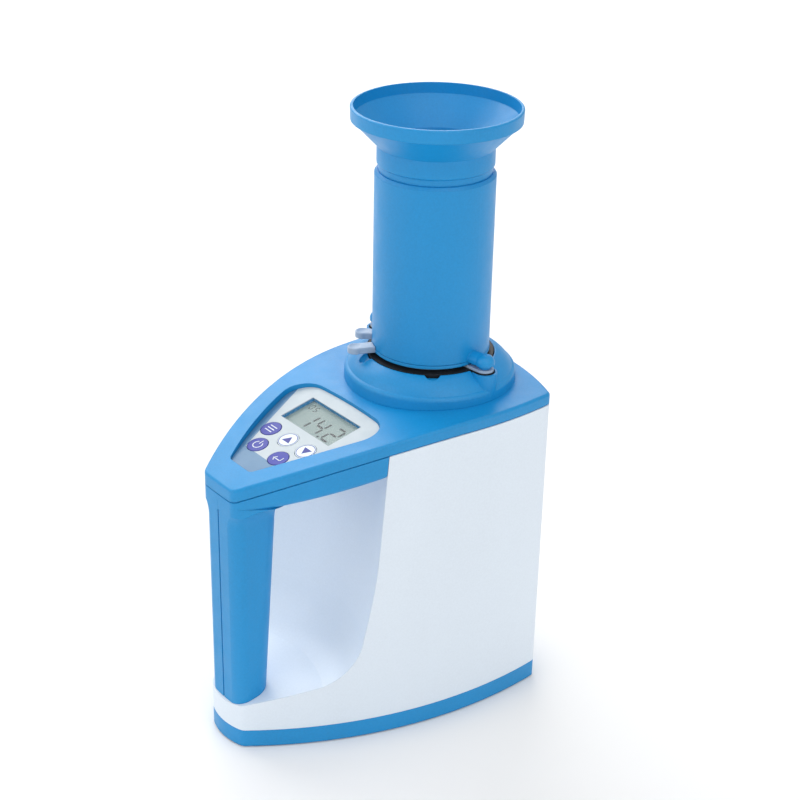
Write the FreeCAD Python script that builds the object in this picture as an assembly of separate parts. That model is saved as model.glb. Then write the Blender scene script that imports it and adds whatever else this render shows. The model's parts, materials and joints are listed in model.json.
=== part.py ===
import FreeCAD, Part
import math
import os
from FreeCAD import Vector

# Grain moisture meter, in millimetres. +Z is up, the floor is z = 0 and the operator stands at -Y,
# where the grip and the display are. The plane x = 0 divides the housing into equal halves.

# Plan outline of the housing
SIDE_R = 236.0            # each side wall is one arc
SIDE_HALF = 58.65         # half of the greatest width
SIDE_Y = 49.0             # where the housing is widest
FRONT_Y, FRONT_R = -91.6, 36.0       # bowed front edge of the base
TOP_FRONT_Y, TOP_FRONT_R = -90.4, 400.0   # nearly flat front of the grip and the cover
REAR_Y, REAR_R = 91.6, 141.0
FRONT_CORNER = 6.0
REAR_CORNER = 4.0
WALL = 2.3

# Heights
FOOT_H = 0.8
TRAY_TOP = 10.8
DECK_Z = 177.8            # flat rear part of the deck
DECK_Y = 28.0             # the deck falls away in front of this line
DECK_R = 315.0
COVER_H = 6.6             # visible edge of the cover
COVER_T = 2.6
GROOVE = 0.6              # shadow groove under the cover

# Hand opening: a dished niche in the front of the body, turned about an upright axis ahead of it
NICHE_Y = -109.9
SEAM_GAP = 0.15

# Front lobe and grip
LOBE_Z, LOBE_Y, LOBE_SLOPE = 141.8, -80.9, 0.207
GRIP_HALF = 14.3
GRIP_CORNER, GRIP_BACK_CORNER = 7.5, 11.0
GRIP_BACK_LOW, GRIP_BACK_HIGH = -68.7, -59.7
GRIP_LOW, GRIP_HIGH = 20.0, 150.0
GRIP_WALL = 2.6
HAUNCH = 13.0             # rounding where the grip spreads into the lobe

# Keypad panel, a flat tilted face
PANEL_Y, PANEL_Z = -40.0, 166.9
PANEL_TILT = math.degrees(math.atan(0.228))
PANEL_FRONT_Y, PANEL_REAR_Y, PANEL_REAR_BOW = -77.0, -11.2, 2.4
PANEL_INSET = 10.9
OVERLAY_T = 0.5
DISPLAY = (42.0, 21.0, 12.9)          # width, height, centre along the slope
KEY_R = 5.5
KEY_GAP = 0.3
KEY_TRAVEL = 0.5
KEYS = {
    "key_menu": (-15.4, -7.8),
    "key_up": (0.0, -7.8),
    "key_down": (15.4, -7.8),
    "key_power": (-9.2, -20.5),
    "key_enter": (9.2, -20.5),
}
BOARD_DEPTH = 8.5         # from the overlay down to the circuit board
BOARD_T = 1.6

# Chips on the board: x, place along the slope, width, height, thickness
CHIPS = ((-10.0, 6.0, 12.0, 12.0, 1.6), (9.0, 8.0, 8.0, 6.0, 1.4), (0.0, -12.0, 10.0, 5.0, 3.0))

# Tube axis and the parts turned about it
AXIS_Y = 44.0
TUBE_R, TUBE_BORE = 31.0, 27.0
TUBE_LOW, TUBE_TOP = 196.0, 291.3
MOUTH_BORE, MOUTH_DEPTH = 28.7, 12.0
SPIGOT_R = 28.4
FUNNEL_BORE, NECK_R, RIM_R = 26.6, 30.0, 43.5
FUNNEL_TOP = 324.2
COLLAR_R, COLLAR_LIP, COLLAR_TOP = 46.0, 34.0, 192.0
SEAT_Z, SEAT_R = 187.0, 30.0

# Gate under the tube: a ring turns two half-disc shutters about two upright pins
GATE_ANGLE = 7.0          # direction of the first pin from +X
PIVOT_R = 39.0
LUG_R = 5.0
EAR_R = 6.6               # pocket walls of the collar around the lugs
PIN_R = 2.0
RUNNING = 0.05
GATE_LOW, GATE_TOP = SEAT_Z, 192.3
LUG_LOW, LUG_TOP, PIN_TOP = 190.0, 201.2, 199.0
SHUTTER_LOW, SHUTTER_TOP, SHUTTER_R = 192.5, 193.9, 28.2
RING_LOW, RING_TOP = 194.1, 195.8
RING_IN, RING_OUT = 28.5, 31.2
TRIGGER_TURN, SHUTTER_TURN = 10.0, 47.0
DRIVE_R, DRIVE_PIN_R, SLOT_GAP = 32.16, 1.0, 0.3
TAB_ANGLE, REST_ANGLE = 247.0, 223.5
TAB_REACH, REST_REACH = 41.0, 36.4
TAB_R, TAB_T = 4.0, 3.2

# Measuring cell and its weighing beam
CUP_R, CUP_WALL = 35.0, 2.0
CUP_LOW, CUP_TOP = 60.0, 174.0
ROD_R = 7.0
BEAM_LOW, BEAM_TOP = 33.0, 45.0

# Battery bay
BAY_X, BAY_FRONT, BAY_REAR, BAY_TOP = 31.5, 15.0, 71.0, 21.5
CELL_R, CELL_L = 7.2, 49.5
DOOR_TRAVEL = 8.0


def plan(z):
    return lambda p: Vector(p[0], p[1], z)


def side(x):
    return lambda p: Vector(x, p[0], p[1])


def radial(p):
    return Vector(p[0], 0, p[1])


def face_from(place, start, steps):
    """Flat face: a step is a point for a straight run, or (middle, end) for an arc."""
    edges = []
    here = start
    for step in steps:
        if isinstance(step[0], tuple):
            middle, end = step
            edges.append(Part.Arc(place(here), place(middle), place(end)).toShape())
        else:
            end = step
            edges.append(Part.LineSegment(place(here), place(end)).toShape())
        here = end
    if here != start:
        edges.append(Part.LineSegment(place(here), place(start)).toShape())
    return Part.Face(Part.Wire(edges))


def prism(start, steps, z0, z1):
    return face_from(plan(z0), start, steps).extrude(Vector(0, 0, z1 - z0))


def across(start, steps, half):
    """Solid of constant (y, z) section, from x = -half to x = half."""
    return face_from(side(-half), start, steps).extrude(Vector(2 * half, 0, 0))


def turned(start, steps, x=0.0, y=0.0):
    """Solid turned about an upright axis, from its (radius, z) section."""
    solid = face_from(radial, start, steps).revolve(Vector(0, 0, 0), Vector(0, 0, 1), 360)
    solid.translate(Vector(x, y, 0))
    return solid


def rod(r, z0, z1, x=0.0, y=0.0):
    return Part.makeCylinder(r, z1 - z0, Vector(x, y, z0))


def block(x0, x1, y0, y1, z0, z1):
    return Part.makeBox(x1 - x0, y1 - y0, z1 - z0, Vector(x0, y0, z0))


def fuse(shapes):
    return shapes[0].multiFuse(shapes[1:]).removeSplitter()


def cut(shape, tools):
    return shape.cut(Part.makeCompound(tools))


def both_sides(shape):
    return [shape, shape.mirror(Vector(0, 0, 0), Vector(1, 0, 0))]


def is_upright(edge):
    run = edge.Vertexes[-1].Point - edge.Vertexes[0].Point
    return math.hypot(run.x, run.y) < 0.001 and abs(run.z) > 0.001


# ---- housing geometry ---------------------------------------------------------------------------

def side_x(y, inset=0.0):
    """Half width of the housing at y, pulled in by inset."""
    return SIDE_HALF - SIDE_R + math.sqrt((SIDE_R - inset) ** 2 - (y - SIDE_Y) ** 2)


def end_corner(inset, end_y, centre_y, radius):
    """Where a side arc meets the end arc of this centre and radius, near end_y."""
    cx, cy = SIDE_HALF - SIDE_R, SIDE_Y
    big, small = SIDE_R - inset, radius - inset
    span = math.hypot(cx, cy - centre_y)
    along = (small ** 2 - big ** 2 + span ** 2) / (2 * span)
    off = math.sqrt(small ** 2 - along ** 2)
    ux, uy = cx / span, (cy - centre_y) / span
    points = [(ux * along - s * uy * off, centre_y + uy * along + s * ux * off) for s in (1, -1)]
    return min((p for p in points if p[0] > 0), key=lambda p: abs(p[1] - end_y))


def footprint(z0, z1, inset=0.0, front=(FRONT_Y, FRONT_R)):
    """Upright prism of the plan outline with rounded corners."""
    front_y, front_r = front
    fx, fy = end_corner(inset, front_y, front_y + front_r, front_r)
    rx, ry = end_corner(inset, REAR_Y, REAR_Y - REAR_R, REAR_R)
    wide = SIDE_HALF - inset
    solid = prism((-fx, fy), [
        ((0.0, front_y + inset), (fx, fy)),
        ((wide, SIDE_Y), (rx, ry)),
        ((0.0, REAR_Y - inset), (-rx, ry)),
        ((-wide, SIDE_Y), (-fx, fy)),
    ], z0, z1)
    for radius, at_front in ((FRONT_CORNER, True), (REAR_CORNER, False)):
        edges = [e for e in solid.Edges if is_upright(e) and (e.Vertexes[0].Y < 0) == at_front]
        solid = solid.makeFillet(max(radius - inset, 0.8), edges)
    return solid


def top_footprint(z0, z1, inset=0.0):
    return footprint(z0, z1, inset, (TOP_FRONT_Y, TOP_FRONT_R))


def under_deck(drop):
    """Everything below the deck surface lowered by drop."""
    r = DECK_R - drop
    z = DECK_Z - drop
    low = math.asin((DECK_Y + 120.0) / r)
    arc = [(DECK_Y - r * math.sin(a), z - r * (1 - math.cos(a))) for a in (low, low / 2)]
    return across(arc[0], [(arc[1], (DECK_Y, z)), (120.0, z), (120.0, -20.0), (arc[0][0], -20.0)], 80.0)


def niche(grow=0.0):
    """Dished space of the hand opening; grow moves its wall outwards and its floor down."""
    g = grow
    return turned((0.0, 21.0 - g), [
        (68.0 + g, 35.4 - g),
        ((83.5 + g, 46.0 - g), (90.2 + g, 62.8 - g)),
        ((94.6 + g, 84.8 - g), (97.4 + g, 105.0 - g)),
        (104.6 + g, 200.0),
        (0.0, 200.0),
    ], 0.0, NICHE_Y)


def above_lobe_floor(lift):
    """Everything above the sloping underside of the front lobe, raised by lift."""
    y0, y1 = -120.0, 20.0
    z0 = LOBE_Z + lift + LOBE_SLOPE * (y0 - LOBE_Y)
    z1 = LOBE_Z + lift + LOBE_SLOPE * (y1 - LOBE_Y)
    return across((y0, z0), [(y1, z1), (y1, 220.0), (y0, 220.0)], 80.0)


def panel_place(shape):
    """Move a piece drawn flat on the panel, with +Y up the slope, to its place."""
    shape.rotate(Vector(0, 0, 0), Vector(1, 0, 0), PANEL_TILT)
    shape.translate(Vector(0, PANEL_Y, PANEL_Z))
    return shape


def panel_area(inset):
    """Upright prism of the panel outline."""
    y0, y1 = PANEL_FRONT_Y + inset, PANEL_REAR_Y - inset
    ym = (y0 + y1) / 2
    x0, xm, x1 = (side_x(y, PANEL_INSET + inset) for y in (y0, ym, y1))
    solid = prism((-x0, y0), [
        (x0, y0),
        ((xm, ym), (x1, y1)),
        ((0.0, y1 + PANEL_REAR_BOW), (-x1, y1)),
        ((-xm, ym), (-x0, y0)),
    ], 120.0, 200.0)
    for radius, at_front in ((4.0, True), (13.0, False)):
        edges = [e for e in solid.Edges if is_upright(e) and (e.Vertexes[0].Y < ym) == at_front]
        solid = solid.makeFillet(radius - inset, edges)
    return solid


def panel_layer(n0, n1):
    """Slab between two heights over the panel face."""
    return panel_place(block(-70, 70, -70, 70, n0, n1))


# ---- housing pieces -----------------------------------------------------------------------------

BASE_SCREWS = [(40.0, -24.0), (48.0, 68.0)]
COVER_SCREWS = [(49.5, 12.0), (49.5, 72.0)]
BOARD_SCREWS = [(20.5, -11.0), (28.0, 12.0)]
FEET = [(8.0, -76.0), (47.0, 50.0)]


def base_tray():
    tray = footprint(FOOT_H, TRAY_TOP)
    tray = tray.cut(footprint(FOOT_H + 2.5, 20.0, 2.4))
    posts = [rod(4.0, FOOT_H + 1.0, TRAY_TOP, x, y) for x, y in BASE_SCREWS]
    tray = fuse([tray] + [piece for post in posts for piece in both_sides(post)])
    door = block(-BAY_X + 3.0, BAY_X - 3.0, BAY_FRONT + 2.0, BAY_REAR - 2.0, 0.0, 5.0)
    rear = BAY_REAR + DOOR_TRAVEL + 0.5
    recess = block(-BAY_X + 0.5, BAY_X - 0.5, BAY_FRONT - 0.5, rear, 0.0, FOOT_H + 1.6)
    holes = [door, recess]
    for x, y in BASE_SCREWS:
        holes += both_sides(rod(1.5, 0.0, 20.0, x, y).fuse(rod(3.1, 0.0, FOOT_H + 2.2, x, y)))
    return cut(tray, holes)


def battery_door():
    slab = block(-BAY_X + 1.0, BAY_X - 1.0, BAY_FRONT, BAY_REAR, FOOT_H + 0.1, FOOT_H + 1.5)
    ribs = [block(-9.0, 9.0, y, y + 1.0, FOOT_H - 0.2, FOOT_H + 0.4) for y in (58.0, 61.0, 64.0)]
    return cut(slab, ribs)


def body_shell():
    outer = footprint(TRAY_TOP, 200.0).common(under_deck(COVER_H)).cut(niche())
    inner = footprint(0.0, 220.0, WALL).cut(niche(WALL))
    shell = outer.cut(inner)
    posts = []
    for x, y in BASE_SCREWS:
        posts.append(rod(4.0, TRAY_TOP, 26.0, x, y))
    for x, y in COVER_SCREWS:
        posts.append(block(x - 4.0, x + 12.0, y - 4.0, y + 4.0, 158.0, 162.0))
    webs = [block(x, x + 16.0, y - 1.0, y + 1.0, TRAY_TOP, 24.0) for x, y in BASE_SCREWS]
    inside = footprint(0.0, 200.0, 1.0)
    grown = [piece.common(inside) for piece in posts + webs]
    shell = fuse([shell] + [piece for post in grown for piece in both_sides(post)])
    holes = []
    for x, y in BASE_SCREWS:
        holes += both_sides(rod(1.2, 0.0, 22.0, x, y))
    for x, y in COVER_SCREWS:
        holes += both_sides(rod(1.6, 150.0, 170.0, x, y))
    return cut(shell, holes)


def grip_section(z, spread):
    """Closed outline of the grip at height z, widened by spread on its sides and back."""
    part = (z - GRIP_LOW) / (GRIP_HIGH - GRIP_LOW)
    back = GRIP_BACK_LOW + part * (GRIP_BACK_HIGH - GRIP_BACK_LOW) + spread
    half = GRIP_HALF + spread
    front = TOP_FRONT_Y - min(spread, 0.0)
    r, b = GRIP_CORNER + min(spread, 0.0), GRIP_BACK_CORNER + spread
    s = math.sqrt(0.5)
    face = face_from(plan(z), (-half + r, front), [
        (half - r, front),
        ((half - r + r * s, front + r - r * s), (half, front + r)),
        (half, back - b),
        ((half - b + b * s, back - b + b * s), (half - b, back)),
        (-half + b, back),
        ((-half + b - b * s, back - b + b * s), (-half, back - b)),
        (-half, front + r),
        ((-half + r - r * s, front + r - r * s), (-half + r, front)),
    ])
    return face.OuterWire


def grip_solid(inset, z0, z1):
    return Part.makeLoft([grip_section(z0, -inset), grip_section(z1, -inset)], True, True)


def haunch():
    """Rounded spread of the grip up into the underside of the lobe."""
    start = LOBE_Z + LOBE_SLOPE * 14.0 - HAUNCH
    rings = []
    for step in range(7):
        turn = math.radians(13.0 * step)
        rings.append(grip_section(start + HAUNCH * math.sin(turn), HAUNCH * (1 - math.cos(turn))))
    return Part.makeLoft(rings, True, False)


def handle_outer():
    lobe = top_footprint(100.0, 200.0).common(under_deck(COVER_H)).common(niche(-SEAM_GAP))
    lobe = lobe.common(above_lobe_floor(0.0))
    below = [e for e in lobe.Edges if is_lobe_floor_edge(e)]
    lobe = lobe.makeFillet(4.0, below)
    stem = fuse([grip_solid(0.0, GRIP_LOW, GRIP_HIGH), haunch()])
    stem = stem.common(top_footprint(0.0, 200.0)).common(under_deck(COVER_H))
    return fuse([lobe, stem]).cut(body_solid())


def is_lobe_floor_edge(edge):
    ends = [edge.valueAt(t) for t in (edge.FirstParameter, edge.LastParameter)]
    return all(abs(p.z - LOBE_Z - LOBE_SLOPE * (p.y - LOBE_Y)) < 0.01 for p in ends)


def body_solid():
    """The white body filled in, for fitting the foot of the grip onto it."""
    return footprint(TRAY_TOP, 60.0, -0.5).cut(niche(-0.1))


GRIP_SCREWS = [52.0, 112.0]
GRIP_SCREW_Y = -77.5


def handle_cavity():
    lobe = top_footprint(100.0, 220.0, WALL).common(niche(-SEAM_GAP - WALL)).common(above_lobe_floor(WALL))
    grip = grip_solid(GRIP_WALL, 34.0, GRIP_HIGH)
    starts = [Vector(-20, GRIP_SCREW_Y, z) for z in GRIP_SCREWS]
    bosses = [Part.makeCylinder(4.2, 40.0, start, Vector(1, 0, 0)) for start in starts]
    return fuse([lobe, grip]).cut(Part.makeCompound(bosses))


def seam_groove():
    return block(-0.45, 0.45, TOP_FRONT_Y - 1.0, TOP_FRONT_Y + 0.7, 10.0, 139.0)


def grip_screw(z):
    shank = Part.makeCylinder(1.5, 18.0, Vector(-9.0, GRIP_SCREW_Y, z), Vector(1, 0, 0))
    head = Part.makeCylinder(2.8, 1.8, Vector(-10.8, GRIP_SCREW_Y, z), Vector(1, 0, 0))
    return shank.fuse(head).removeSplitter()


def grip_screw_hole(z):
    left = Part.makeCylinder(3.0, 11.0, Vector(-20.0, GRIP_SCREW_Y, z), Vector(1, 0, 0))
    shank = Part.makeCylinder(1.5, 18.0, Vector(-9.0, GRIP_SCREW_Y, z), Vector(1, 0, 0))
    return left.fuse(shank)


def handle_halves():
    whole = handle_outer().cut(handle_cavity())
    whole = cut(whole, [seam_groove()] + [grip_screw_hole(z) for z in GRIP_SCREWS])
    left = whole.common(block(-80, 0, -120, 40, 0, 220))
    right = whole.common(block(0, 80, -120, 40, 0, 220))
    return left, right


def top_cover():
    outer = top_footprint(100.0, 220.0).common(under_deck(0.0)).cut(under_deck(COVER_H))
    rim = [e for e in outer.Edges if is_deck_edge(e)]
    outer = outer.makeFillet(1.6, rim)
    hollow = top_footprint(100.0, 220.0, WALL).common(under_deck(COVER_T))
    groove = top_footprint(100.0, 220.0, -1.0).cut(top_footprint(90.0, 230.0, GROOVE))
    groove = groove.common(under_deck(COVER_H - GROOVE))
    cover = cut(outer, [hollow, groove])
    recess = panel_area(0.0).common(panel_layer(-OVERLAY_T, 40.0))
    backing = panel_area(-2.2).common(panel_layer(-OVERLAY_T - 2.0, 2.0)).common(under_deck(0.5))
    cover = fuse([cover, backing]).cut(recess)
    bosses = [rod(3.5, 162.0, DECK_Z - 1.0, x, y) for x, y in COVER_SCREWS]
    bosses = [piece for post in bosses for piece in both_sides(post)]
    for x, v in BOARD_SCREWS:
        bosses += [panel_place(post) for post in both_sides(rod(2.6, -BOARD_DEPTH, -1.0, x, v))]
    cover = fuse([cover] + bosses)
    width, height, centre = DISPLAY
    window = panel_place(block(-width / 2, width / 2, centre - height / 2, centre + height / 2, -8, 3))
    holes = [window, rod(36.5, 150.0, 200.0, 0.0, AXIS_Y)]
    holes += [panel_place(rod(KEY_R + KEY_GAP, -8, 3, x, v)) for x, v in KEYS.values()]
    for x, y in COVER_SCREWS:
        holes += both_sides(rod(1.2, 160.0, DECK_Z - 3.0, x, y))
    for x, v in BOARD_SCREWS:
        holes += [panel_place(post) for post in both_sides(rod(1.3, -12.0, -BOARD_DEPTH + 4.0, x, v))]
    return cut(cover, holes)


def is_deck_edge(edge):
    """True for the top edges of the cover, which run along the deck surface."""
    on_deck = []
    for t in (edge.FirstParameter, (edge.FirstParameter + edge.LastParameter) / 2, edge.LastParameter):
        p = edge.valueAt(t)
        fall = max(DECK_Y - p.y, 0.0)
        on_deck.append(abs(p.z - DECK_Z + DECK_R - math.sqrt(DECK_R ** 2 - fall ** 2)) < 0.01)
    on_seam = [abs(vertex.Y - DECK_Y) < 0.01 for vertex in (edge.Vertexes[0], edge.Vertexes[-1])]
    return all(on_deck) and not all(on_seam)


def keypad_overlay():
    sheet = panel_area(0.25).common(panel_layer(-OVERLAY_T, 0.0))
    width, height, centre = DISPLAY
    window = panel_place(block(-width / 2, width / 2, centre - height / 2, centre + height / 2, -3, 3))
    keys = [panel_place(rod(KEY_R + KEY_GAP, -3, 3, x, v)) for x, v in KEYS.values()]
    return cut(sheet, [window] + keys)


def display_window():
    width, height, centre = DISPLAY
    pane = block(-width / 2, width / 2, centre - height / 2, centre + height / 2, -2.0, -0.3)
    return panel_place(pane)


def display_module():
    width, height, centre = DISPLAY
    w, h = width / 2 + 2.0, height / 2 + 2.0
    glass = block(-w, w, centre - h, centre + h, -4.4, -2.6)
    carrier = block(-w, w, centre - h, centre + h, -BOARD_DEPTH, -4.4)
    core = block(-w + 3, w - 3, centre - h + 3, centre + h - 3, -BOARD_DEPTH - 1, -5.5)
    return panel_place(glass.fuse(carrier).removeSplitter().cut(core))


def key_cap(x, v):
    cap = rod(KEY_R, -2.2, 0.1, x, v)
    stem = rod(1.6, -BOARD_DEPTH + 1.4 + KEY_TRAVEL, -2.2, x, v)
    return panel_place(cap.fuse(stem).removeSplitter())


def key_domes():
    domes = []
    for x, v in KEYS.values():
        low, top = -BOARD_DEPTH, -BOARD_DEPTH + 1.2
        body = turned((0.0, low), [(3.2, low), (3.2, low + 0.3), (1.8, top), (0.0, top)], x, v)
        domes.append(panel_place(body))
    return Part.makeCompound(domes)





def main_circuit_board():
    area = panel_area(1.0).common(niche(-SEAM_GAP - WALL - 0.8))
    board = area.common(panel_layer(-BOARD_DEPTH - BOARD_T, -BOARD_DEPTH))
    holes = [panel_place(piece) for x, v in BOARD_SCREWS for piece in both_sides(rod(1.3, -14, 0, x, v))]
    return cut(board, holes)


def board_chips():
    chips = []
    for x, v, w, h, t in CHIPS:
        top = -BOARD_DEPTH - BOARD_T
        chips.append(panel_place(block(x - w / 2, x + w / 2, v - h / 2, v + h / 2, top - t, top)))
    return Part.makeCompound(chips)


def mouth_collar():
    dome = turned((SEAT_R, 176.0), [
        (COLLAR_R, 172.0),
        (COLLAR_R - 0.6, 182.0),
        ((COLLAR_R - 1.2, 183.4), (COLLAR_R - 2.4, 184.2)),
        ((COLLAR_LIP + 6.0, 188.6), (COLLAR_LIP + 0.6, COLLAR_TOP)),
        (COLLAR_LIP, COLLAR_TOP),
        (COLLAR_LIP, SEAT_Z),
        (SEAT_R, SEAT_Z),
    ], 0.0, AXIS_Y)
    throat = turned((SEAT_R, CUP_TOP + 0.8), [
        (SEAT_R + 3.5, CUP_TOP + 0.8), (36.2, 176.5), (36.2, 180.0), (SEAT_R, 180.0)], 0.0, AXIS_Y)
    deck = under_deck(0.0).cut(rod(36.5, 100.0, 200.0, 0.0, AXIS_Y))
    walls = [gate_place(rod(EAR_R, 180.0, COLLAR_TOP, s * PIVOT_R, 0.0)) for s in (1, -1)]
    hole = rod(COLLAR_LIP, 170.0, 200.0, 0.0, AXIS_Y)
    collar = fuse([dome.cut(deck), throat] + [wall.cut(hole) for wall in walls])
    cavity = turned((SEAT_R + 2.4, 172.0), [(COLLAR_R - 2.6, 172.0), (COLLAR_R - 3.2, 181.0),
        (SEAT_R + 6.0, 183.4), (36.6, 181.8), (36.6, 172.0)], 0.0, AXIS_Y)
    half, floor = LUG_R + 0.5, LUG_LOW - 0.4
    ears = [gate_place(rod(half, floor, 200.0, s * PIVOT_R, 0.0)) for s in (1, -1)]
    ears += [gate_place(block(s * 36 - 4.0, s * 36 + 4.0, -half, half, floor, 200.0)) for s in (1, -1)]
    moon = rod(4.2, COLLAR_TOP - 1.6, 200.0, 0.0, 0.0)
    moon.translate(collar_point(-37.0, COLLAR_LIP - 1.2))
    finger = Part.makeCone(0.4, 6.5, 5.0, Vector(0, 0, COLLAR_TOP - 4.0))
    finger.translate(collar_point(TAB_ANGLE + 4.0, COLLAR_LIP + 3.6))
    return cut(collar, [cavity.cut(rod(36.6, 100, 181.8, 0, AXIS_Y)), moon, finger] + ears)


def collar_point(angle, radius):
    a = math.radians(angle)
    return Vector(radius * math.cos(a), AXIS_Y + radius * math.sin(a), 0)


# ---- sample tube, gate and funnel ---------------------------------------------------------------

def gate_place(shape):
    shape.rotate(Vector(0, 0, 0), Vector(0, 0, 1), GATE_ANGLE)
    shape.translate(Vector(0, AXIS_Y, 0))
    return shape


def drop_tube():
    wall = turned((TUBE_BORE, TUBE_LOW), [
        (TUBE_R, TUBE_LOW),
        (TUBE_R, TUBE_TOP - 1.6),
        (TUBE_R - 1.2, TUBE_TOP),
        (MOUTH_BORE, TUBE_TOP),
        (MOUTH_BORE, TUBE_TOP - MOUTH_DEPTH),
        (TUBE_BORE, TUBE_TOP - MOUTH_DEPTH - 1.0),
    ])
    guide = turned((TUBE_BORE, RING_LOW - 0.1), [
        (RING_IN - RUNNING, RING_LOW - 0.1), (RING_IN - RUNNING, TUBE_LOW), (TUBE_BORE, TUBE_LOW)])
    pieces = [wall, guide]
    for s in (1, -1):
        lug = turned((0.0, TUBE_LOW), [
            (LUG_R, TUBE_LOW), (LUG_R, TUBE_LOW + 1.8),
            ((LUG_R - 1.4, TUBE_LOW + 4.2), (1.4, LUG_TOP)), (0.0, LUG_TOP),
        ], s * PIVOT_R, 0.0)
        web = across_web(s)
        spacer = rod(3.2, SHUTTER_TOP + 0.1, TUBE_LOW, s * PIVOT_R, 0.0)
        pieces += [lug, web, spacer]
    tube = fuse(pieces)
    pins = [rod(PIN_R, 180.0, PIN_TOP, s * PIVOT_R, 0.0) for s in (1, -1)]
    return gate_place(cut(tube, pins + [rod(TUBE_BORE, 180.0, 230.0)]))


def across_web(s):
    """Web that joins a pivot lug to the tube wall."""
    inner, outer = s * 28.5, s * PIVOT_R
    half = LUG_R - 0.4
    web = face_from(lambda p: Vector(min(inner, outer), p[0], p[1]), (-half, TUBE_LOW), [
        (half, TUBE_LOW), (half, TUBE_LOW + 1.6), ((0.0, LUG_TOP - 0.2), (-half, TUBE_LOW + 1.6))])
    return web.extrude(Vector(abs(outer - inner), 0, 0))


def turn_half(shape, s):
    """The shape as drawn on the +X side, or turned half a turn about the tube axis for -X."""
    if s < 0:
        shape.rotate(Vector(0, 0, 0), Vector(0, 0, 1), 180)
    return shape


def gate_plate():
    ring = turned((26.0, GATE_LOW), [(33.6, GATE_LOW), (33.6, GATE_TOP), (26.0, GATE_TOP)])
    pieces = [ring]
    for s in (1, -1):
        pieces.append(rod(LUG_R, LUG_LOW, GATE_TOP, s * PIVOT_R, 0.0))
        web = block(32.0, PIVOT_R, 0.4 - LUG_R, LUG_R - 0.4, LUG_LOW, GATE_TOP)
        pieces.append(turn_half(web, s))
    plate = fuse(pieces)
    pins = [rod(PIN_R, 180.0, 200.0, s * PIVOT_R, 0.0) for s in (1, -1)]
    return gate_place(cut(plate, pins))


def pivot_pins():
    pins = [gate_place(rod(PIN_R, LUG_LOW + 0.2, PIN_TOP, s * PIVOT_R, 0.0)) for s in (1, -1)]
    return Part.makeCompound(pins)


def drive_pins():
    pins = [gate_place(rod(DRIVE_PIN_R, SHUTTER_LOW + 0.1, RING_TOP, s * DRIVE_R, 0.0)) for s in (1, -1)]
    return Part.makeCompound(pins)


def trigger_ring():
    ring = turned((RING_IN, RING_LOW), [(RING_OUT, RING_LOW), (RING_OUT, RING_TOP), (RING_IN, RING_TOP)])
    lobes = [rod(2.3, RING_LOW, RING_TOP, s * DRIVE_R, 0.0) for s in (1, -1)]
    pins = [rod(DRIVE_PIN_R, 180.0, 200.0, s * DRIVE_R, 0.0) for s in (1, -1)]
    ring = fuse([ring] + lobes).cut(Part.makeCompound(pins))
    ring = ring.cut(rod(RING_IN, 180.0, 200.0))
    return gate_place(ring)


def finger_tab(angle, reach, inner, low, top):
    """Flat rounded tab that points outwards, with a shallow thumb dimple."""
    arm = block(inner, reach, -TAB_R + 0.4, TAB_R - 0.4, low, top).fuse(rod(TAB_R, low, top, reach, 0.0))
    arm = arm.removeSplitter()
    rim = [e for e in arm.Edges if abs(e.BoundBox.ZMin - top) < 0.01 and e.BoundBox.XMax > inner + 1.0]
    arm = arm.makeFillet(0.6, rim)
    arm = arm.cut(Part.makeSphere(8.0, Vector(reach, 0, top + 7.3)))
    arm.rotate(Vector(0, 0, 0), Vector(0, 0, 1), angle)
    arm.translate(Vector(0, AXIS_Y, 0))
    return arm


def trigger_tab():
    tab = finger_tab(TAB_ANGLE, TAB_REACH, 30.0, RING_LOW, RING_LOW + TAB_T)
    hub = rod(RING_OUT, 180.0, 200.0, 0.0, AXIS_Y)
    return tab.cut(hub)


def thumb_rest():
    tab = finger_tab(REST_ANGLE, REST_REACH, 29.0, TUBE_LOW, TUBE_LOW + TAB_T)
    return tab.cut(rod(TUBE_R, 180.0, 220.0, 0.0, AXIS_Y))


def slot_tools():
    """The drive pin's path in a shutter's own frame, as a row of overlapping cutters."""
    tools = []
    count = 10
    for step in range(count + 1):
        ring = math.radians(TRIGGER_TURN * step / count)
        blade = math.radians(SHUTTER_TURN * step / count)
        dx = DRIVE_R * math.cos(ring) - PIVOT_R
        dy = -DRIVE_R * math.sin(ring)
        x = math.cos(blade) * dx + math.sin(blade) * dy
        y = -math.sin(blade) * dx + math.cos(blade) * dy
        tools.append(rod(DRIVE_PIN_R + SLOT_GAP, 180.0, 200.0, PIVOT_R + x, y))
    return tools


def shutter(turn):
    """Half-disc shutter with its pivot eye; turn is 0 or 180 degrees about the tube axis."""
    disc = rod(SHUTTER_R, SHUTTER_LOW, SHUTTER_TOP)
    half = disc.common(block(-26.4, 40.0, -40.0, -0.1, 180.0, 200.0))
    eye = rod(4.6, SHUTTER_LOW, SHUTTER_TOP, PIVOT_R, 0.0)
    arm = block(27.0, PIVOT_R, -4.6, 4.4, SHUTTER_LOW, SHUTTER_TOP)
    blade = fuse([half, eye, arm])
    blade = cut(blade, [rod(PIN_R + RUNNING, 180.0, 200.0, PIVOT_R, 0.0), slot_solid()])
    blade.rotate(Vector(0, 0, 0), Vector(0, 0, 1), turn)
    return gate_place(blade)


def slot_solid():
    tools = slot_tools()
    return tools[0].multiFuse(tools[1:])


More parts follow.
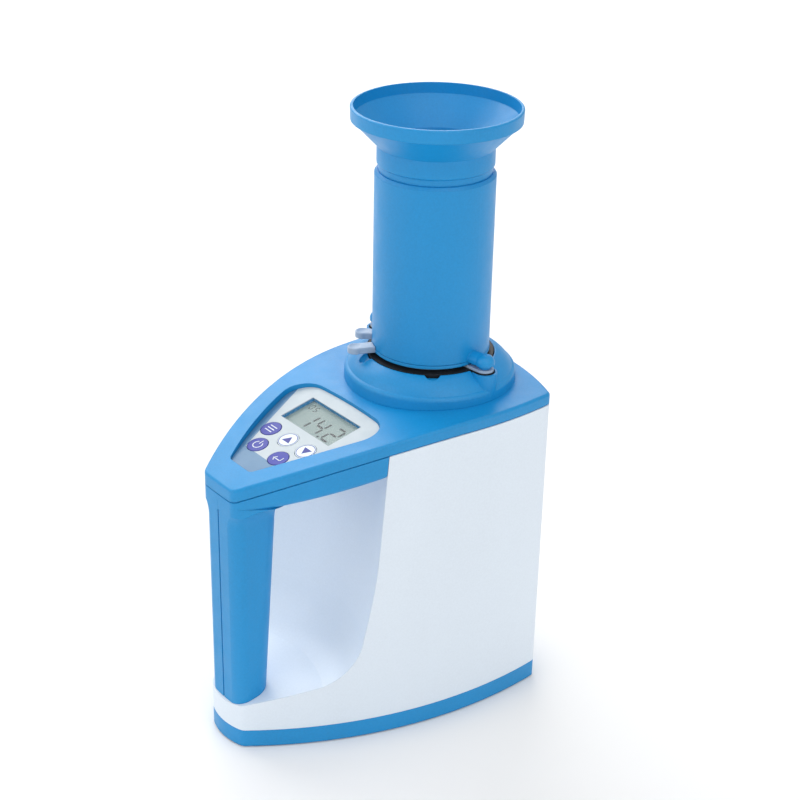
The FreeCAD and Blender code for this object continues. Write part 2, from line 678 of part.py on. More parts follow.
def funnel():
    return turned((FUNNEL_BORE, TUBE_TOP - MOUTH_DEPTH + 0.8), [
        (SPIGOT_R, TUBE_TOP - MOUTH_DEPTH + 0.8),
        (SPIGOT_R, TUBE_TOP),
        (29.0, TUBE_TOP),
        (29.0, 294.6),
        (NECK_R - 0.4, 295.0),
        (NECK_R, 295.4),
        (NECK_R, 304.4),
        (RIM_R - 1.3, 317.0),
        (RIM_R - 0.2, 317.4),
        (RIM_R, 323.4),
        ((RIM_R - 0.25, 323.95), (RIM_R - 0.8, FUNNEL_TOP)),
        (RIM_R - 1.6, FUNNEL_TOP),
        (RIM_R - 2.1, 318.6),
        (27.7, 304.4),
        (FUNNEL_BORE, 300.8),
    ], 0.0, AXIS_Y)


# ---- measuring cell, weighing beam and battery --------------------------------------------------

def outer_electrode():
    inner = CUP_R - CUP_WALL
    return turned((ROD_R + 3.0, CUP_LOW), [
        (CUP_R, CUP_LOW), (CUP_R, CUP_TOP), (inner, CUP_TOP), (inner, CUP_LOW + 3.0),
        (ROD_R + 3.0, CUP_LOW + 3.0)], 0.0, AXIS_Y)


def centre_electrode():
    return turned((0.0, CUP_LOW - 3.0), [
        (3.0, CUP_LOW - 3.0), (3.0, CUP_LOW + 5.0), (ROD_R, CUP_LOW + 5.0), (ROD_R, 148.0),
        ((5.6, 152.6), (1.0, 155.8)), (0.0, 155.8)], 0.0, AXIS_Y)


def electrode_insulator():
    return turned((3.0, CUP_LOW), [
        (ROD_R + 3.0, CUP_LOW), (ROD_R + 3.0, CUP_LOW + 3.0), (ROD_R + 4.5, CUP_LOW + 3.0),
        (ROD_R + 4.5, CUP_LOW + 5.0), (3.0, CUP_LOW + 5.0)], 0.0, AXIS_Y)


def cup_carrier():
    under = CUP_LOW - 4.0
    disc = turned((6.0, under), [(31.0, under), (31.0, CUP_LOW), (6.0, CUP_LOW)], 0.0, AXIS_Y)
    post = block(22.0, 34.0, AXIS_Y - 6.0, AXIS_Y + 6.0, BEAM_TOP, CUP_LOW - 3.0)
    foot = block(8.0, 30.0, AXIS_Y - 6.0, AXIS_Y + 6.0, CUP_LOW - 7.0, CUP_LOW - 3.0)
    return cut(fuse([disc, post, foot]), [rod(1.6, 40.0, 54.0, 28.0, AXIS_Y)])


def load_cell():
    beam = block(-38.0, 38.0, AXIS_Y - 6.0, AXIS_Y + 6.0, BEAM_LOW, BEAM_TOP)
    starts = [Vector(x, AXIS_Y - 10.0, 39.0) for x in (-7.0, 7.0)]
    bores = [Part.makeCylinder(4.4, 20.0, start, Vector(0, 1, 0)) for start in starts]
    link = block(-7.0, 7.0, AXIS_Y - 10.0, AXIS_Y + 10.0, 37.2, 40.8)
    screws = [rod(1.6, 20.0, 60.0, x, AXIS_Y) for x in (-28.0, 28.0)]
    return cut(beam, bores + [link] + screws)


def cell_bracket():
    plate = block(-44.0, 44.0, AXIS_Y - 12.0, AXIS_Y + 12.0, 26.0, 29.0)
    pad = block(-38.0, -20.0, AXIS_Y - 6.0, AXIS_Y + 6.0, 29.0, BEAM_LOW)
    legs = both_sides(block(41.0, 44.0, AXIS_Y - 12.0, AXIS_Y + 12.0, FOOT_H + 2.5, 26.0))
    feet = both_sides(block(36.0, 41.0, AXIS_Y - 12.0, AXIS_Y + 12.0, FOOT_H + 2.5, FOOT_H + 5.0))
    holes = [rod(1.6, 20.0, 34.0, -28.0, AXIS_Y)]
    return cut(fuse([plate, pad] + legs + feet), holes)


def beam_screws():
    low = rod(1.6, 26.0, 40.0, -28.0, AXIS_Y).fuse(rod(3.0, 24.0, 26.0, -28.0, AXIS_Y))
    high = rod(1.6, BEAM_LOW, 54.0, 28.0, AXIS_Y).fuse(rod(3.0, BEAM_LOW - 2.0, BEAM_LOW, 28.0, AXIS_Y))
    return Part.makeCompound([low.removeSplitter(), high.removeSplitter()])


def temperature_probe():
    """Sealed sensor tube that stands in the grain, clear of the electrodes."""
    return turned((0.0, CUP_LOW + 3.0), [
        (2.6, CUP_LOW + 3.0), (2.6, CUP_LOW + 6.0), (1.6, CUP_LOW + 6.0), (1.6, 98.0),
        ((1.3, 99.2), (0.4, 100.0)), (0.0, 100.0)], -21.0, AXIS_Y)


def battery_box():
    box = block(-BAY_X, BAY_X, BAY_FRONT, BAY_REAR, FOOT_H + 2.5, BAY_TOP)
    room = block(-BAY_X + 1.5, BAY_X - 1.5, BAY_FRONT + 1.5, BAY_REAR - 1.5, 0.0, BAY_TOP - 1.5)
    return box.cut(room)


def battery_cells():
    cells = []
    for place in (-1.5, -0.5, 0.5, 1.5):
        x = place * (2 * CELL_R + 0.3)
        tall = FOOT_H + 2.9 + CELL_R
        body = Part.makeCylinder(CELL_R, CELL_L - 1.2, Vector(x, BAY_FRONT + 3.2, tall), Vector(0, 1, 0))
        nub = Part.makeCylinder(2.6, CELL_L, Vector(x, BAY_FRONT + 3.2, tall), Vector(0, 1, 0))
        cells.append(body.fuse(nub).removeSplitter())
    return Part.makeCompound(cells)


def battery_contacts():
    plates = []
    for place in (-1.5, -0.5, 0.5, 1.5):
        x = place * (2 * CELL_R + 0.3)
        for y in (BAY_FRONT + 1.5, BAY_REAR - 2.1):
            plates.append(block(x - 4.0, x + 4.0, y, y + 0.6, 7.0, 16.0))
    return Part.makeCompound(plates)


# ---- fasteners and feet -------------------------------------------------------------------------

def base_screws():
    screws = []
    for x, y in BASE_SCREWS:
        screw = rod(1.2, FOOT_H + 2.2, 20.0, x, y).fuse(rod(2.8, FOOT_H + 0.3, FOOT_H + 2.2, x, y))
        screws += both_sides(screw.removeSplitter())
    return Part.makeCompound(screws)


def cover_screws():
    screws = []
    for x, y in COVER_SCREWS:
        screw = rod(1.2, 158.0, 172.0, x, y).fuse(rod(2.6, 156.2, 158.0, x, y))
        screws += both_sides(screw.removeSplitter())
    return Part.makeCompound(screws)


def board_screws():
    screws = []
    low = -BOARD_DEPTH - BOARD_T
    for x, v in BOARD_SCREWS:
        screw = rod(1.3, low, -BOARD_DEPTH + 4.0, x, v).fuse(rod(2.2, low - 1.4, low, x, v))
        screws += [panel_place(piece) for piece in both_sides(screw.removeSplitter())]
    return Part.makeCompound(screws)


def feet():
    pads = []
    for x, y in FEET:
        pads += both_sides(turned((0.0, 0.0), [
            (4.6, 0.0), (5.0, 0.4), (5.0, FOOT_H), (0.0, FOOT_H)], x, y))
    return Part.makeCompound(pads)


def save(node, shape):
    if not shape.isValid():
        print("not valid:", node)
    print(node, "solids", len(shape.Solids), "volume", round(shape.Volume))
    shape.exportStep(os.path.join("parts", node + ".step"))


def main():
    os.makedirs("parts", exist_ok=True)
    handle_left, handle_right = handle_halves()
    save("handle_left", handle_left)
    save("handle_right", handle_right)
    builders = [
        base_tray, battery_door, body_shell, top_cover, mouth_collar, keypad_overlay, display_window,
        display_module, key_domes, main_circuit_board, board_chips, board_screws, drop_tube, gate_plate,
        pivot_pins, thumb_rest, trigger_ring, trigger_tab, drive_pins, funnel, outer_electrode,
        centre_electrode, electrode_insulator, cup_carrier, load_cell, cell_bracket, beam_screws,
        temperature_probe, battery_box, battery_cells, battery_contacts, base_screws, cover_screws, feet,
    ]
    for builder in builders:
        save(builder.__name__, builder())
    save("shutter_front", shutter(0.0))
    save("shutter_rear", shutter(180.0))
    save("grip_screws", Part.makeCompound([grip_screw(z) for z in GRIP_SCREWS]))
    for node, (x, v) in KEYS.items():
        save(node, key_cap(x, v))


main()
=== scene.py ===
"""Looks of the grain moisture meter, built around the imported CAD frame. Metres, +Z up, operator at -Y."""
import json
import math

import bmesh
import bpy
from mathutils import Matrix, Vector


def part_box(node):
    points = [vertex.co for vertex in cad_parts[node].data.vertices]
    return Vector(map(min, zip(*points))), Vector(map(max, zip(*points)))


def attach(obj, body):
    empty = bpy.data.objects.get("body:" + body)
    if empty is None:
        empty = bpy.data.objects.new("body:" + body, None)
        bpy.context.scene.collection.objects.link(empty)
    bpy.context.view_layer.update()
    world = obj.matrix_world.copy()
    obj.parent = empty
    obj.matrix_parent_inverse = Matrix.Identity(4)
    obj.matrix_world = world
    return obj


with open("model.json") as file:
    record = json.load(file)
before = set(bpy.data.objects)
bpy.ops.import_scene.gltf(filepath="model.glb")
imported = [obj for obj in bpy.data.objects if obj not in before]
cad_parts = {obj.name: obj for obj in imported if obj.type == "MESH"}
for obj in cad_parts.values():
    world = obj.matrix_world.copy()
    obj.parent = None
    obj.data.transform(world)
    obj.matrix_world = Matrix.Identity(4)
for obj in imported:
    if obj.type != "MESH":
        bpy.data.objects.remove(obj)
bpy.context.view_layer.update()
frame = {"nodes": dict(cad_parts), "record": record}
nodes = frame["nodes"]

MM = 0.001


# ---- places taken from the frame ----------------------------------------------------------------

TOP_SLICE = 0.05 * MM               # vertices this close to a piece's highest level are its top face
WINDOW_EDGE = 0.6 * MM              # what the window's tilted thickness adds to its run up the slope
BORDER_BELOW_ENTER = 4.8 * MM
BORDER_LEFT_OF_MENU = 5.6 * MM
BORDER_SLOPE = 0.442                # the left border's edge moves this far to -X per metre to the rear


def centre(name):
    """Middle of a node's box."""
    low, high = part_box(name)
    return (low + high) / 2


def panel_tilt():
    """Slope of the keypad, from its rear and front rows of keys, which stand alike on it."""
    rear, front = centre("key_up"), centre("key_enter")
    return math.atan2(rear.z - front.z, rear.y - front.y)


TILT = panel_tilt()
NORMAL = Vector((0.0, -math.sin(TILT), math.cos(TILT)))
UPHILL = Vector((0.0, math.cos(TILT), math.sin(TILT)))


def panel_point_over(name):
    """Point on the top face of a panel piece, over its middle."""
    vertices = nodes[name].data.vertices
    top = max(v.co.dot(NORMAL) for v in vertices)
    runs = [v.co.dot(UPHILL) for v in vertices if v.co.dot(NORMAL) > top - TOP_SLICE]
    middle_run = (min(runs) + max(runs)) / 2
    return Vector((centre(name).x, 0, 0)) + UPHILL * middle_run + NORMAL * top


def panel_frame(origin):
    """Matrix that takes flat drawings (x, up the slope, height) to the panel at origin."""
    return Matrix.Translation(origin) @ Matrix.Rotation(TILT, 4, "X")


window_low, window_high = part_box("display_window")
WINDOW_WIDTH = window_high.x - window_low.x
WINDOW_RUN = (window_high.y - window_low.y) / math.cos(TILT) - WINDOW_EDGE

# The border lies in front of BORDER_FRONT, and left of a slanting edge that crosses y = 0 at BORDER_X.
BORDER_FRONT = centre("key_enter").y - BORDER_BELOW_ENTER
BORDER_X = centre("key_menu").x - BORDER_LEFT_OF_MENU + BORDER_SLOPE * centre("key_menu").y


# ---- materials ----------------------------------------------------------------------------------

NOISE_LOW, NOISE_HIGH = 0.3, 0.7    # the range that most of a noise texture's values fill
FLOW_MARKS = 22.0                   # noise scales of the mouldings, in cycles per metre
SPECKS = 900.0
GLOSS_PATCHES = 130.0
SPECK_LIFT = 0.015                  # specks are lighter than the moulding by this much
SPECK_SHARE = 0.35
METAL_LINES = 1800.0
PLASTIC_IOR = 1.5
FLOW_STRETCH = (1.0, 1.0, 0.35)
WINDOW_ALPHA = 0.08
INK_ROUGHNESS = 0.4

BLUE = (0.03, 0.56, 0.815)
FILM_PALE = (0.72, 0.765, 0.785), (0.745, 0.785, 0.805)
FILM_BORDER = (0.33, 0.505, 0.65), (0.36, 0.53, 0.67)
LCD_TINT = (0.54, 0.62, 0.61), (0.62, 0.69, 0.67)
WINDOW_TINT = (0.62, 0.68, 0.68)


def linear(colour):
    """sRGB triple to the linear RGBA that shaders take."""
    out = [c / 12.92 if c <= 0.04045 else ((c + 0.055) / 1.055) ** 2.4 for c in colour]
    return (*out, 1.0)


def shaded(colour, factor):
    return [c * factor for c in colour]


class Shader:
    """A small node graph around one Principled shader."""

    def __init__(self, name):
        self.material = bpy.data.materials.new(name)
        self.material.use_nodes = True
        self.tree = self.material.node_tree
        self.surface = self.tree.nodes["Principled BSDF"]
        self.coords = self.add("ShaderNodeTexCoord").outputs["Object"]

    def add(self, kind, **values):
        """New node; each value is one of its settings or, failing that, one of its inputs."""
        node = self.tree.nodes.new(kind)
        for key, value in values.items():
            if hasattr(node, key):
                setattr(node, key, value)
            else:
                node.inputs[key].default_value = value
        return node

    def link(self, output, target):
        self.tree.links.new(output, target)

    def drive(self, output, name):
        """Feed one input of the surface."""
        self.link(output, self.surface.inputs[name])

    def fix(self, value, name):
        """Give one input of the surface the same value all over."""
        self.surface.inputs[name].default_value = value

    def noise(self, scale, detail=3.0, stretch=(1.0, 1.0, 1.0)):
        """Noise over the object's own coordinates; scale is in cycles per metre."""
        mapping = self.add("ShaderNodeMapping", Scale=stretch)
        self.link(self.coords, mapping.inputs["Vector"])
        noise = self.add("ShaderNodeTexNoise", Scale=scale, Detail=detail)
        self.link(mapping.outputs["Vector"], noise.inputs["Vector"])
        return noise.outputs["Fac"]

    def ramp(self, value, low, high):
        """Spread noise over low to high."""
        node = self.add("ShaderNodeMapRange")
        ends = {"From Min": NOISE_LOW, "From Max": NOISE_HIGH, "To Min": low, "To Max": high}
        for key, end in ends.items():
            node.inputs[key].default_value = end
        self.link(value, node.inputs["Value"])
        return node.outputs["Result"]

    def mix(self, fac, a, b):
        """Blend of two colours, each an RGBA tuple or an output."""
        node = self.add("ShaderNodeMix", data_type="RGBA")
        for socket, value in ((6, a), (7, b)):
            if isinstance(value, tuple):
                node.inputs[socket].default_value = value
            else:
                self.link(value, node.inputs[socket])
        self.link(fac, node.inputs["Factor"])
        return node.outputs[2]

    def calc(self, operation, *terms):
        """Math node; each term is a number or an output."""
        node = self.add("ShaderNodeMath", operation=operation)
        for socket, term in zip(node.inputs, terms):
            if isinstance(term, float):
                socket.default_value = term
            else:
                self.link(term, socket)
        return node.outputs[0]

    def bump(self, height, depth, strength, soften=0.0):
        """Relief of a given depth in metres; soften rounds the look of sharp edges by that radius."""
        node = self.add("ShaderNodeBump", Distance=depth, Strength=strength)
        self.link(height, node.inputs["Height"])
        if soften:
            edge = self.add("ShaderNodeBevel", samples=4, Radius=soften)
            self.link(edge.outputs["Normal"], node.inputs["Normal"])
        self.drive(node.outputs["Normal"], "Normal")


def moulded(name, colour, rough=(0.36, 0.46), grain=2600.0, depth=0.03 * MM, drift=0.05):
    """Injection-moulded plastic: spark grain, faint flow marks and slightly uneven gloss."""
    s = Shader(name)
    pale = linear([min(c + SPECK_LIFT, 1.0) for c in shaded(colour, 1 + drift)])
    deep = linear(shaded(colour, 1 - drift))
    flow = s.noise(FLOW_MARKS, 2.0, FLOW_STRETCH)
    specks = s.noise(SPECKS, 2.0)
    tint = s.mix(s.ramp(flow, 0.0, 1.0), deep, linear(colour))
    s.drive(s.mix(s.ramp(specks, 0.0, SPECK_SHARE), tint, pale), "Base Color")
    s.drive(s.ramp(s.noise(GLOSS_PATCHES, 4.0), *rough), "Roughness")
    s.bump(s.noise(grain), depth, strength=0.35, soften=0.5 * MM)
    s.fix(PLASTIC_IOR, "IOR")
    return s


def metal(name, colour, rough, stretch):
    """Bare metal with drawn or turned lines; stretch lays them along one axis."""
    s = Shader(name)
    s.fix(1.0, "Metallic")
    lines = s.noise(METAL_LINES, 2.0, stretch)
    s.drive(s.mix(s.ramp(lines, 0.0, 1.0), linear(shaded(colour, 0.9)), linear(colour)), "Base Color")
    s.drive(s.ramp(s.noise(90.0), *rough), "Roughness")
    s.bump(lines, depth=0.01 * MM, strength=0.3, soften=0.3 * MM)
    return s


def ink(name, colour):
    s = Shader(name)
    cover = s.ramp(s.noise(1400.0, 2.0), 0.0, 1.0)
    s.drive(s.mix(cover, linear(colour), linear(shaded(colour, 0.85))), "Base Color")
    s.fix(INK_ROUGHNESS, "Roughness")
    return s


def panel_film():
    """Matt keypad film, printed pale with a blue-grey border along its front and left."""
    s = Shader("panel_film")
    split = s.add("ShaderNodeSeparateXYZ")
    s.link(s.coords, split.inputs["Vector"])
    x, y = split.outputs["X"], split.outputs["Y"]
    left = s.calc("LESS_THAN", x, s.calc("MULTIPLY_ADD", y, -BORDER_SLOPE, BORDER_X))
    front = s.calc("LESS_THAN", y, BORDER_FRONT)
    cloud = s.ramp(s.noise(160.0), 0.0, 1.0)
    pale = s.mix(cloud, *map(linear, FILM_PALE))
    border = s.mix(cloud, *map(linear, FILM_BORDER))
    s.drive(s.mix(s.calc("MAXIMUM", left, front), pale, border), "Base Color")
    s.drive(s.ramp(s.noise(240.0), 0.3, 0.4), "Roughness")
    s.bump(s.noise(5200.0, 2.0), depth=0.01 * MM, strength=0.3)
    return s


def clear_window():
    s = Shader("display_window")
    s.drive(s.ramp(s.noise(60.0), 0.04, 0.1), "Roughness")
    s.fix(linear(WINDOW_TINT), "Base Color")
    s.fix(WINDOW_ALPHA, "Alpha")
    return s


def lcd_glass():
    """Reflective display cell: grey-green, with faintly uneven tint and gloss."""
    s = Shader("lcd_cell")
    s.drive(s.mix(s.ramp(s.noise(45.0, 2.0), 0.0, 1.0), *map(linear, LCD_TINT)), "Base Color")
    s.drive(s.ramp(s.noise(900.0, 2.0), 0.35, 0.5), "Roughness")
    return s


# Looks of the record's material slots.
MATERIALS = {
    "blue_plastic": moulded("blue_moulding", BLUE),
    "white_plastic": moulded("white_moulding", (0.885, 0.925, 0.965), rough=(0.34, 0.44),
                             grain=2200.0, depth=0.02 * MM, drift=0.015),
    "grey_plastic": moulded("grey_moulding", (0.63, 0.71, 0.80), rough=(0.38, 0.5),
                            grain=2600.0, depth=0.02 * MM, drift=0.03),
    "black_plastic": moulded("black_moulding", (0.03, 0.032, 0.04), rough=(0.5, 0.62),
                             grain=2400.0, depth=0.03 * MM, drift=0.1),
    "key_blue": moulded("key_blue_print", (0.07, 0.13, 0.62), rough=(0.34, 0.44),
                        grain=3800.0, depth=0.01 * MM, drift=0.05),
    "key_white": moulded("key_white_print", (0.90, 0.95, 0.98), rough=(0.34, 0.44),
                         grain=3800.0, depth=0.01 * MM, drift=0.01),
    "circuit_board": moulded("board_mask", (0.05, 0.30, 0.14), rough=(0.3, 0.4),
                             grain=700.0, depth=0.02 * MM, drift=0.15),
    "natural_plastic": moulded("turned_insulator", (0.88, 0.87, 0.80), rough=(0.4, 0.55),
                               grain=1500.0, depth=0.02 * MM, drift=0.03),
    "rubber": moulded("foot_rubber", (0.07, 0.07, 0.075), rough=(0.7, 0.85),
                      grain=1400.0, depth=0.05 * MM, drift=0.1),
    "battery_wrap": moulded("cell_sleeve", (0.12, 0.13, 0.16), rough=(0.25, 0.35),
                            grain=1000.0, depth=0.01 * MM, drift=0.05),
    "steel": metal("plated_steel", (0.80, 0.80, 0.82), rough=(0.24, 0.38), stretch=(1.0, 1.0, 0.04)),
    "aluminium": metal("turned_aluminium", (0.86, 0.87, 0.88), rough=(0.28, 0.42),
                       stretch=(0.04, 0.04, 1.0)),
    "panel_film": panel_film(),
    "display_glass": clear_window(),
}
MATERIALS["chip"] = MATERIALS["black_plastic"]


# ---- mesh helpers -------------------------------------------------------------------------------

CAP_STEPS = 6                       # sides of a bar's rounded end


def finish_mesh(name, bm, shader, matrix=None):
    """Turn the drawing into an object, moved by matrix."""
    bmesh.ops.recalc_face_normals(bm, faces=bm.faces)
    mesh = bpy.data.meshes.new(name)
    bm.to_mesh(mesh)
    bm.free()
    if matrix:
        mesh.transform(matrix)
    obj = bpy.data.objects.new(name, mesh)
    bpy.context.scene.collection.objects.link(obj)
    mesh.materials.append(shader.material)
    return obj


def add_plate(bm, outline, low, high):
    """Closed flat plate with this outline."""
    bottom = [bm.verts.new((x, y, low)) for x, y in outline]
    top = [bm.verts.new((x, y, high)) for x, y in outline]
    bm.faces.new(list(reversed(bottom)))
    bm.faces.new(top)
    count = len(outline)
    for i in range(count):
        j = (i + 1) % count
        bm.faces.new((bottom[i], bottom[j], top[j], top[i]))


def add_band(bm, inner, outer, low, high, start=0.0, end=360.0, steps=64):
    """Flat ring, or part of one between two angles."""
    whole = end - start >= 360.0
    count = steps if whole else steps + 1
    corners = ((inner, low), (outer, low), (outer, high), (inner, high))
    rings = []
    for i in range(count):
        a = math.radians(start + (end - start) * i / steps)
        rings.append([bm.verts.new((r * math.cos(a), r * math.sin(a), z)) for r, z in corners])
    for i in range(steps):
        a, b = rings[i], rings[(i + 1) % count]
        for k in range(4):
            m = (k + 1) % 4
            bm.faces.new((a[k], a[m], b[m], b[k]))
    if not whole:
        bm.faces.new(rings[0])
        bm.faces.new(list(reversed(rings[-1])))


def bar(cx, cy, length, stroke, turn=0.0):
    """Outline of a bar with rounded ends, centred on (cx, cy) and turned from the x axis."""
    points = []
    r = stroke / 2
    for side, base in ((1, -90), (-1, 90)):
        for step in range(CAP_STEPS + 1):
            a = math.radians(base + 180 * step / CAP_STEPS)
            points.append((side * (length / 2 - r) + r * math.cos(a), r * math.sin(a)))
    c, s = math.cos(turn), math.sin(turn)
    return [(cx + x * c - y * s, cy + x * s + y * c) for x, y in points]


# ---- keypad prints ------------------------------------------------------------------------------

PRINT_LOW, PRINT_HIGH = -0.02 * MM, 0.06 * MM
OUTLINE_INNER, OUTLINE_OUTER = 4.75 * MM, 5.1 * MM
ARROW_HALF, ARROW_BACK, ARROW_TIP = 2.9 * MM, 1.9 * MM, 2.7 * MM
POWER_INNER, POWER_OUTER = 2.3 * MM, 2.85 * MM
POWER_START, POWER_END, POWER_STEPS = 125.0, 415.0, 40
POWER_BAR = 2.9 * MM
STROKE = 0.55 * MM
MENU_BAR, MENU_STROKE, MENU_PITCH = 5.6 * MM, 0.6 * MM, 1.9 * MM
UPRIGHT = math.pi / 2

# Bars of the enter sign: x, y and length in millimetres, and turn.
ENTER_BARS = ((0.0, -0.9, 5.4, 0.0), (2.45, 0.35, 3.0, UPRIGHT),
              (-2.0, -0.2, 2.4, UPRIGHT / 2), (-2.0, -1.6, 2.4, -UPRIGHT / 2))

blue_ink = ink("blue_ink", (0.05, 0.11, 0.60))
white_ink = ink("white_ink", (0.90, 0.93, 0.97))
lcd_ink = ink("lcd_segment", (0.07, 0.08, 0.11))


def key_print(name, key, draw, shader):
    """Print drawn on the top face of a key, which it rides."""
    bm = bmesh.new()
    draw(bm)
    piece = finish_mesh(name, bm, shader, panel_frame(panel_point_over(key)))
    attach(piece, key)


def draw_outline(bm):
    add_band(bm, OUTLINE_INNER, OUTLINE_OUTER, PRINT_LOW, PRINT_HIGH)


def draw_arrow(bm, way=1):
    """Triangle that points up the slope for way 1 and down it for way -1."""
    points = ((-ARROW_HALF, -ARROW_BACK * way), (ARROW_HALF, -ARROW_BACK * way), (0.0, ARROW_TIP * way))
    add_plate(bm, points, PRINT_LOW, PRINT_HIGH)


def draw_arrow_down(bm):
    draw_arrow(bm, -1)


def draw_power(bm):
    add_band(bm, POWER_INNER, POWER_OUTER, PRINT_LOW, PRINT_HIGH, POWER_START, POWER_END, POWER_STEPS)
    add_plate(bm, bar(0.0, POWER_INNER, POWER_BAR, STROKE, UPRIGHT), PRINT_LOW, PRINT_HIGH)


def draw_enter(bm):
    for x, y, length, turn in ENTER_BARS:
        add_plate(bm, bar(x * MM, y * MM, length * MM, STROKE, turn), PRINT_LOW, PRINT_HIGH)


def draw_menu(bm):
    for y in (-MENU_PITCH, 0.0, MENU_PITCH):
        add_plate(bm, bar(0.0, y, MENU_BAR, MENU_STROKE), PRINT_LOW, PRINT_HIGH)


def keypad_prints():
    for key, arrow in (("key_up", draw_arrow), ("key_down", draw_arrow_down)):
        key_print(key + "_outline", key, draw_outline, blue_ink)
        key_print(key + "_arrow", key, arrow, blue_ink)
    for key, draw in (("key_power", draw_power), ("key_enter", draw_enter), ("key_menu", draw_menu)):
        key_print(key + "_mark", key, draw, white_ink)


# ---- display ------------------------------------------------------------------------------------

FACE_DEPTH = 2.1 * MM               # display face below the top of its window
FACE_THICK = 0.2 * MM
FACE_MARGIN = 0.9 * MM              # how far the face runs on under the window's edge
DIGIT_LOW, DIGIT_HIGH = -FACE_DEPTH - 0.01 * MM, -FACE_DEPTH + 0.05 * MM
DIGIT_SLANT = 0.08
SEGMENT_CUT = 0.9                   # a segment stops short of its corners by this share of its stroke
SEGMENTS = {"0": "abcdef", "1": "bc", "2": "abged", "4": "fgbc", "5": "afgcd"}

# Digits in millimetres: marks with their x, then y, width, height and stroke.
READING = (("1", -9.0), ("4", 1.0), ("2", 12.5)), -1.6, 6.0, 11.6, 1.3
CHANNEL = (("0", -17.0), ("5", -13.2)), 6.4, 2.1, 3.6, 0.55
POINT = 6.8 * MM, -7.4 * MM, 1.5 * MM, 1.4 * MM


def add_digit(bm, mark, cx, cy, width, height, stroke):
    """One seven-segment digit made of separate bars."""
    w, h = width / 2, height / 2
    places = {"a": (0, h, 0), "g": (0, 0, 0), "d": (0, -h, 0),
              "f": (-w, h / 2, 1), "b": (w, h / 2, 1), "e": (-w, -h / 2, 1), "c": (w, -h / 2, 1)}
    for part in SEGMENTS[mark]:
        x, y, upright = places[part]
        length = (h if upright else width) - stroke * SEGMENT_CUT
        outline = bar(cx + x, cy + y, length, stroke, UPRIGHT if upright else 0.0)
        slanted = [(px + DIGIT_SLANT * (py - cy), py) for px, py in outline]
        add_plate(bm, slanted, DIGIT_LOW, DIGIT_HIGH)


def add_row(bm, marks, y, width, height, stroke):
    for mark, x in marks:
        add_digit(bm, mark, x * MM, y * MM, width * MM, height * MM, stroke * MM)


def display():
    place = panel_frame(panel_point_over("display_window"))
    x, y = WINDOW_WIDTH / 2 + FACE_MARGIN, WINDOW_RUN / 2 + FACE_MARGIN
    bm = bmesh.new()
    add_plate(bm, [(-x, -y), (x, -y), (x, y), (-x, y)], -FACE_DEPTH - FACE_THICK, -FACE_DEPTH)
    face = finish_mesh("lcd_face", bm, lcd_glass(), place)
    bm = bmesh.new()
    add_row(bm, *READING)
    add_plate(bm, bar(*POINT), DIGIT_LOW, DIGIT_HIGH)
    add_row(bm, *CHANNEL)
    digits = finish_mesh("lcd_digits", bm, lcd_ink, place)
    for piece in (face, digits):
        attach(piece, "housing")


# ---- CAD nodes take their materials -------------------------------------------------------------

def dress(name, shader):
    data = nodes[name].data
    if not data.materials:
        data.materials.append(shader.material)
    for i in range(len(data.materials)):
        data.materials[i] = shader.material


def dress_frame():
    for part in frame["record"]["subparts"]:
        dress(part["node"], MATERIALS[part["material_slot"]])


# ---- stage --------------------------------------------------------------------------------------

FLOOR_HALF = 6.0
FLOOR_COLOUR = (0.93, 0.93, 0.93, 1.0)
SKY_COLOUR = (1.0, 1.0, 1.0, 1.0)
SKY_STRENGTH = 0.6
LIGHT_AIM = (0.0, 0.0, 0.17)

# Name, place, width and height, and power in watts.
SOFTBOXES = (
    ("key_softbox", (-1.75, 0.40, 1.50), (2.6, 1.6), 34.0),
    ("top_softbox", (0.3, -0.2, 2.1), (1.8, 1.8), 7.0),
    ("right_softbox", (1.7, -0.2, 1.4), (1.8, 1.4), 9.0),
    ("front_softbox", (-0.6, -1.8, 1.2), (1.6, 1.4), 8.0),
)

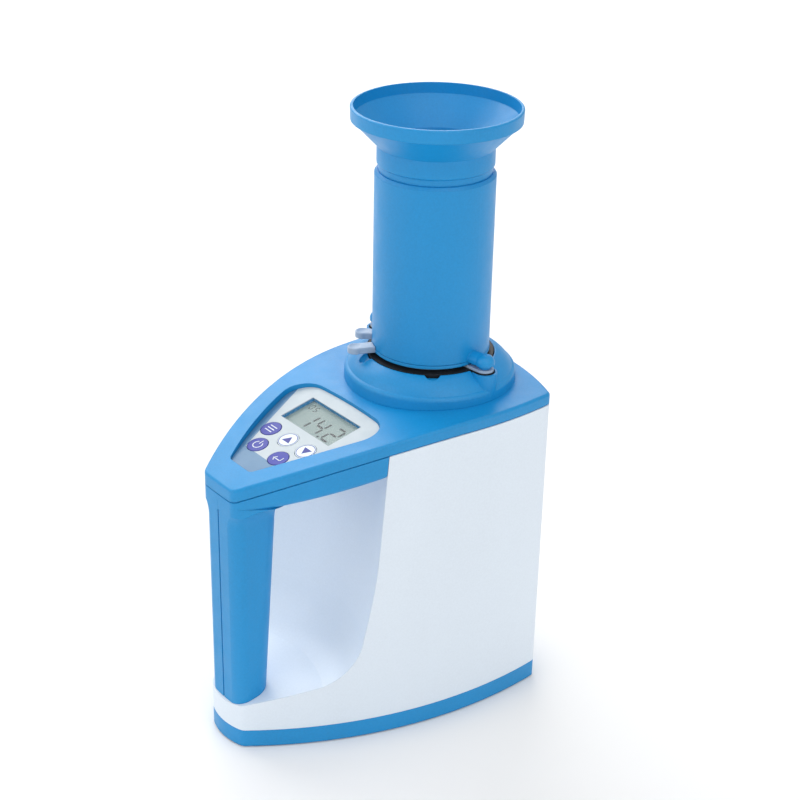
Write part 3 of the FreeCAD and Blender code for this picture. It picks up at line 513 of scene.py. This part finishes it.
SENSOR_MM = 36.0
LENS_MM = 76.2
SHIFT_X, SHIFT_Y = 0.0188, -0.0032
CLIP_END = 20.0
CAMERA_PLACE = (0.6307, -0.4772, 0.5619)
YAW, PITCH, ROLL = math.radians(52.08), math.radians(26.03), math.radians(0.97)


def stage():
    bm = bmesh.new()
    bmesh.ops.create_grid(bm, x_segments=1, y_segments=1, size=FLOOR_HALF)
    s = Shader("floor")
    s.fix(FLOOR_COLOUR, "Base Color")
    s.fix(0.9, "Roughness")
    s.fix(0.1, "Specular IOR Level")
    floor = finish_mesh("floor", bm, s)
    world = bpy.data.worlds.new("studio")
    world.use_nodes = True
    background = world.node_tree.nodes["Background"]
    background.inputs["Color"].default_value = SKY_COLOUR
    background.inputs["Strength"].default_value = SKY_STRENGTH
    bpy.context.scene.world = world
    bpy.context.scene.view_settings.view_transform = "Standard"


def soft_light(name, place, size, power):
    light = bpy.data.lights.new(name, "AREA")
    light.shape = "RECTANGLE"
    light.size, light.size_y = size
    light.energy = power
    obj = bpy.data.objects.new(name, light)
    obj.location = place
    obj.rotation_euler = (Vector(LIGHT_AIM) - Vector(place)).to_track_quat("-Z", "Y").to_euler()
    bpy.context.scene.collection.objects.link(obj)


def lights():
    for softbox in SOFTBOXES:
        soft_light(*softbox)


def camera():
    """Camera that looks from the front right, YAW left of +Y, PITCH down, rolled by ROLL."""
    data = bpy.data.cameras.new("camera")
    data.sensor_width = SENSOR_MM
    data.lens = LENS_MM
    data.shift_x = SHIFT_X
    data.shift_y = SHIFT_Y
    data.clip_end = CLIP_END
    cam = bpy.data.objects.new("camera", data)
    ahead = Vector((-math.sin(YAW) * math.cos(PITCH), math.cos(YAW) * math.cos(PITCH), -math.sin(PITCH)))
    level = Vector((math.cos(YAW), math.sin(YAW), 0.0))
    above = level.cross(ahead)
    right = math.cos(ROLL) * level + math.sin(ROLL) * above
    up = -math.sin(ROLL) * level + math.cos(ROLL) * above
    turn = Matrix((right, up, -ahead)).transposed()
    cam.matrix_world = Matrix.Translation(CAMERA_PLACE) @ turn.to_4x4()
    bpy.context.scene.collection.objects.link(cam)
    bpy.context.scene.camera = cam


dress_frame()
keypad_prints()
display()
stage()
lights()
camera()
